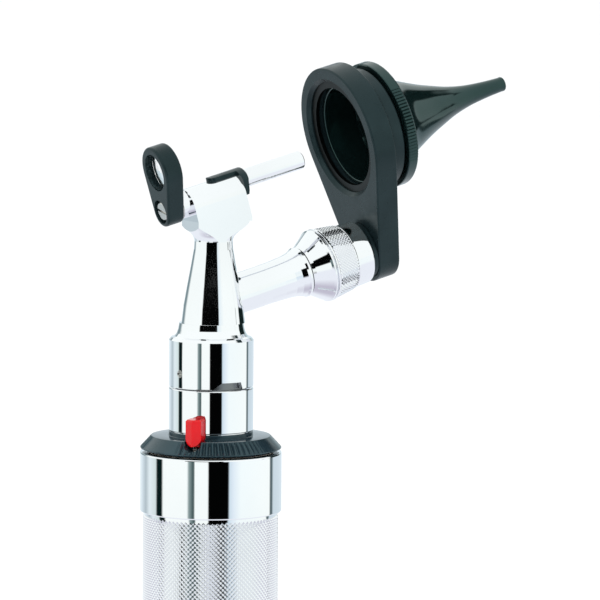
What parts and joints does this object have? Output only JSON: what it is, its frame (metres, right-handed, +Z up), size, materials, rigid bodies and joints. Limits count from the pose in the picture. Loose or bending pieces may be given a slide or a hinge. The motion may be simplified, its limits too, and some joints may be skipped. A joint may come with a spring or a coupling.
{
  "type": "operating otoscope",
  "caption": "Battery-handled operating otoscope with a swinging lens, light tube, hinged speculum carrier, brightness ring with lock button and a twist-off head.",
  "frame": {"origin": "centre of the flat end of the handle, on the handle axis", "axes": "+Z up the handle axis, +X towards the speculum's side, Y square to the head's plane of symmetry"},
  "size_m": [0.0917, 0.0326, 0.2246],
  "materials": {
    "chrome": "polished chrome plate",
    "chrome_grip": "polished chrome plate with diamond-knurled grip",
    "steel": "turned steel",
    "brass": "bare brass",
    "black_ring": "satin black with fine radial serrations",
    "black_plastic": "satin black",
    "speculum_plastic": "glossy black moulding with a serrated rim",
    "red_button": "glossy red",
    "lens_glass": "clear ground lens",
    "lamp_glass": "clear bulb",
    "fibre": "packed glass fibre with polished end",
    "insulator": "moulded ivory insulator",
    "battery_wrap": "plain shrink wrap",
    "rubber_seal": "black o-ring"
  },
  "bodies": {
    "handle": {"handle_barrel": "chrome_grip", "handle_liner": "insulator", "battery_cell": "battery_wrap", "battery_contact": "steel", "rheostat_track": "insulator", "lock_collar": "chrome", "contact_insulator": "insulator", "contact_pin": "brass"},
    "cap_seat": {"cap_contact": "brass", "cap_spring": "steel"},
    "cap": {"end_cap": "chrome", "cap_seal": "rubber_seal"},
    "ring": {"rheostat_ring": "black_ring", "ring_wiper": "brass", "button_spring": "steel"},
    "button": {"lock_button": "red_button"},
    "head": {"head_socket": "chrome", "head_set_screw": "steel", "head_body": "chrome", "lamp_base": "steel", "lamp_bulb": "lamp_glass", "light_pipe": "fibre", "light_tube": "chrome", "light_pipe_cap": "black_plastic", "arm_tube": "chrome", "arm_spindle": "steel", "lens_screw": "steel", "lens_washer": "steel", "friction_washer": "black_plastic", "pivot_screw": "steel"},
    "lens": {"lens_holder": "black_plastic", "magnifier_lens": "lens_glass", "lens_retainer": "black_plastic"},
    "nut": {"lock_nut": "chrome_grip"},
    "carrier": {"paddle": "black_plastic", "carrier_clip": "steel"},
    "bayonet": {"bayonet_ring": "black_plastic"},
    "speculum_tip": {"speculum": "speculum_plastic"}
  },
  "joints": [
    {"name": "cap_travel", "type": "slide", "parent": "handle", "child": "cap_seat", "axis": [0, 0, -1], "range_m": [0, 0.008]},
    {"name": "cap_turn", "type": "hinge", "parent": "cap_seat", "child": "cap", "pos_m": [0, 0, 0.01], "axis": [0, 0, -1], "range_deg": [0, 1800]},
    {"name": "ring_turn", "type": "hinge", "parent": "handle", "child": "ring", "pos_m": [0, 0, 0.14], "axis": [0, 0, 1], "range_deg": [-120, 0]},
    {"name": "button_press", "type": "slide", "parent": "ring", "child": "button", "axis": [0, 0, -1], "range_m": [0, 0.001], "stiffness_N_per_m": 300, "springref_m": -0.002, "deforming": ["button_spring"]},
    {"name": "head_twist", "type": "hinge", "parent": "handle", "child": "head", "pos_m": [0, 0, 0.155], "axis": [0, 0, 1], "range_deg": [0, 27]},
    {"name": "lens_swing", "type": "hinge", "parent": "head", "child": "lens", "pos_m": [-0.0127, 0, 0.19194], "axis": [0.965, 0, 0.2622], "range_deg": [-111, 89]},
    {"name": "nut_turn", "type": "hinge", "parent": "head", "child": "nut", "pos_m": [0.0303, 0, 0.17952], "axis": [0.965, 0, 0.2622], "range_deg": [-90, 0]},
    {"name": "carrier_swing", "type": "hinge", "parent": "head", "child": "carrier", "pos_m": [0.03995, 0, 0.18214], "axis": [0.965, 0, 0.2622], "range_deg": [-120, 120]},
    {"name": "speculum_twist", "type": "hinge", "parent": "carrier", "child": "bayonet", "pos_m": [0.03181, 0, 0.20738], "axis": [0.965, 0, 0.2622], "range_deg": [0, 30]},
    {"name": "speculum_pull", "type": "slide", "parent": "bayonet", "child": "speculum_tip", "axis": [0.965, 0, 0.2622], "range_m": [0, 0.03]}
  ],
  "couplings": [
    {"joint": "cap_travel", "follows": "cap_turn", "m_per_rad": 0.00025465}
  ]
}
